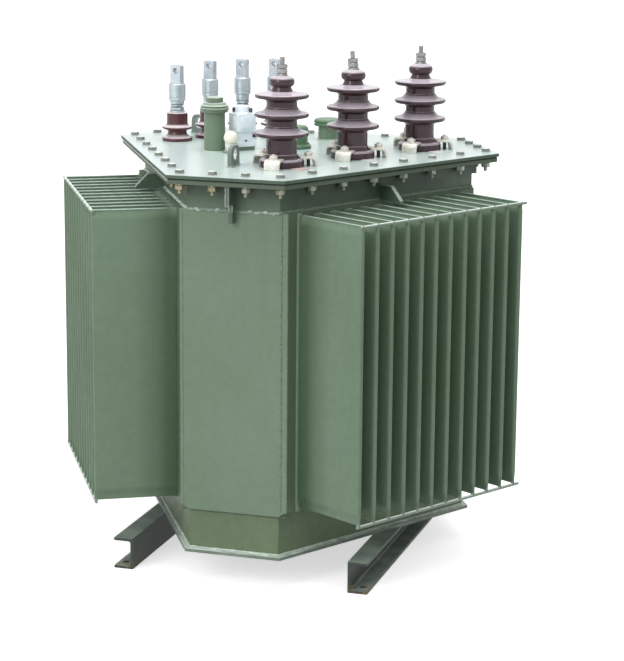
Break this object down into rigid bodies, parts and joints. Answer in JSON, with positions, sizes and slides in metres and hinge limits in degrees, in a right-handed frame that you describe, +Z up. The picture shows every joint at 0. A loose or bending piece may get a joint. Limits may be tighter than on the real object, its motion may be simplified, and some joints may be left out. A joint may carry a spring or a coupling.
{
  "type": "power transformer",
  "caption": "Oil-filled distribution transformer: three-sided tank with finned walls, bolted cover, porcelain bushings and channel feet.",
  "frame": {"origin": "on the tank axis at floor level, at the centre of the four foot bolt holes", "axes": "+Z up, +X to the right and +Y to the rear of the plain front corner"},
  "size_m": [1.2512, 1.0733, 1.2975],
  "materials": {
    "tank_paint": "semi-gloss grey-green paint",
    "cover_paint": "semi-gloss grey-green paint, weathered pale",
    "foot_paint": "dull dark grey-green paint with dirt",
    "gasket_rubber": "matte black",
    "hv_porcelain": "glossy purple-brown glaze",
    "lv_porcelain": "glossy red-brown glaze",
    "terminal_metal": "tinned, satin",
    "clamp_metal": "bright plated",
    "eye_metal": "dark grey-green paint",
    "fitting_paint": "satin green paint",
    "hood_paint": "green moulding",
    "valve_white": "pale blue-white enamel",
    "plug_cream": "cream moulding"
  },
  "bodies": {
    "root": {"left_foot_channel": "foot_paint", "right_foot_channel": "foot_paint", "bottom_plate": "tank_paint", "base_skirt": "tank_paint", "upper_collar": "tank_paint", "rim_flange": "tank_paint", "cover_gasket": "gasket_rubber", "cover_plate": "cover_paint", "fin_tie_rods": "tank_paint", "lifting_lugs": "tank_paint", "collar_gussets": "tank_paint", "lifting_eyes": "eye_metal", "hv_clamps": "clamp_metal", "oil_filler_pipe": "fitting_paint", "oil_filler_cap": "fitting_paint", "valve_pad": "fitting_paint", "pressure_relief_valve": "valve_white", "vent_plug": "plug_cream", "tap_changer_hood": "hood_paint", "thermometer_well": "fitting_paint", "thermometer_cap": "hood_paint", "front_corner_panel": "tank_paint", "right_corner_panel": "tank_paint", "left_corner_panel": "tank_paint", "right_fin_wall": "tank_paint", "right_cooling_fins": "tank_paint", "rear_fin_wall": "tank_paint", "rear_cooling_fins": "tank_paint", "left_fin_wall": "tank_paint", "left_cooling_fins": "tank_paint", "hv_bushing_1": "hv_porcelain", "hv_terminal_1": "terminal_metal", "hv_bushing_2": "hv_porcelain", "hv_terminal_2": "terminal_metal", "hv_bushing_3": "hv_porcelain", "hv_terminal_3": "terminal_metal", "lv_bushing_1": "lv_porcelain", "lv_terminal_1": "terminal_metal", "lv_bushing_2": "lv_porcelain", "lv_terminal_2": "terminal_metal", "lv_bushing_3": "lv_porcelain", "lv_terminal_3": "terminal_metal", "lv_bushing_4": "lv_porcelain", "lv_terminal_4": "terminal_metal"}
  },
  "joints": []
}
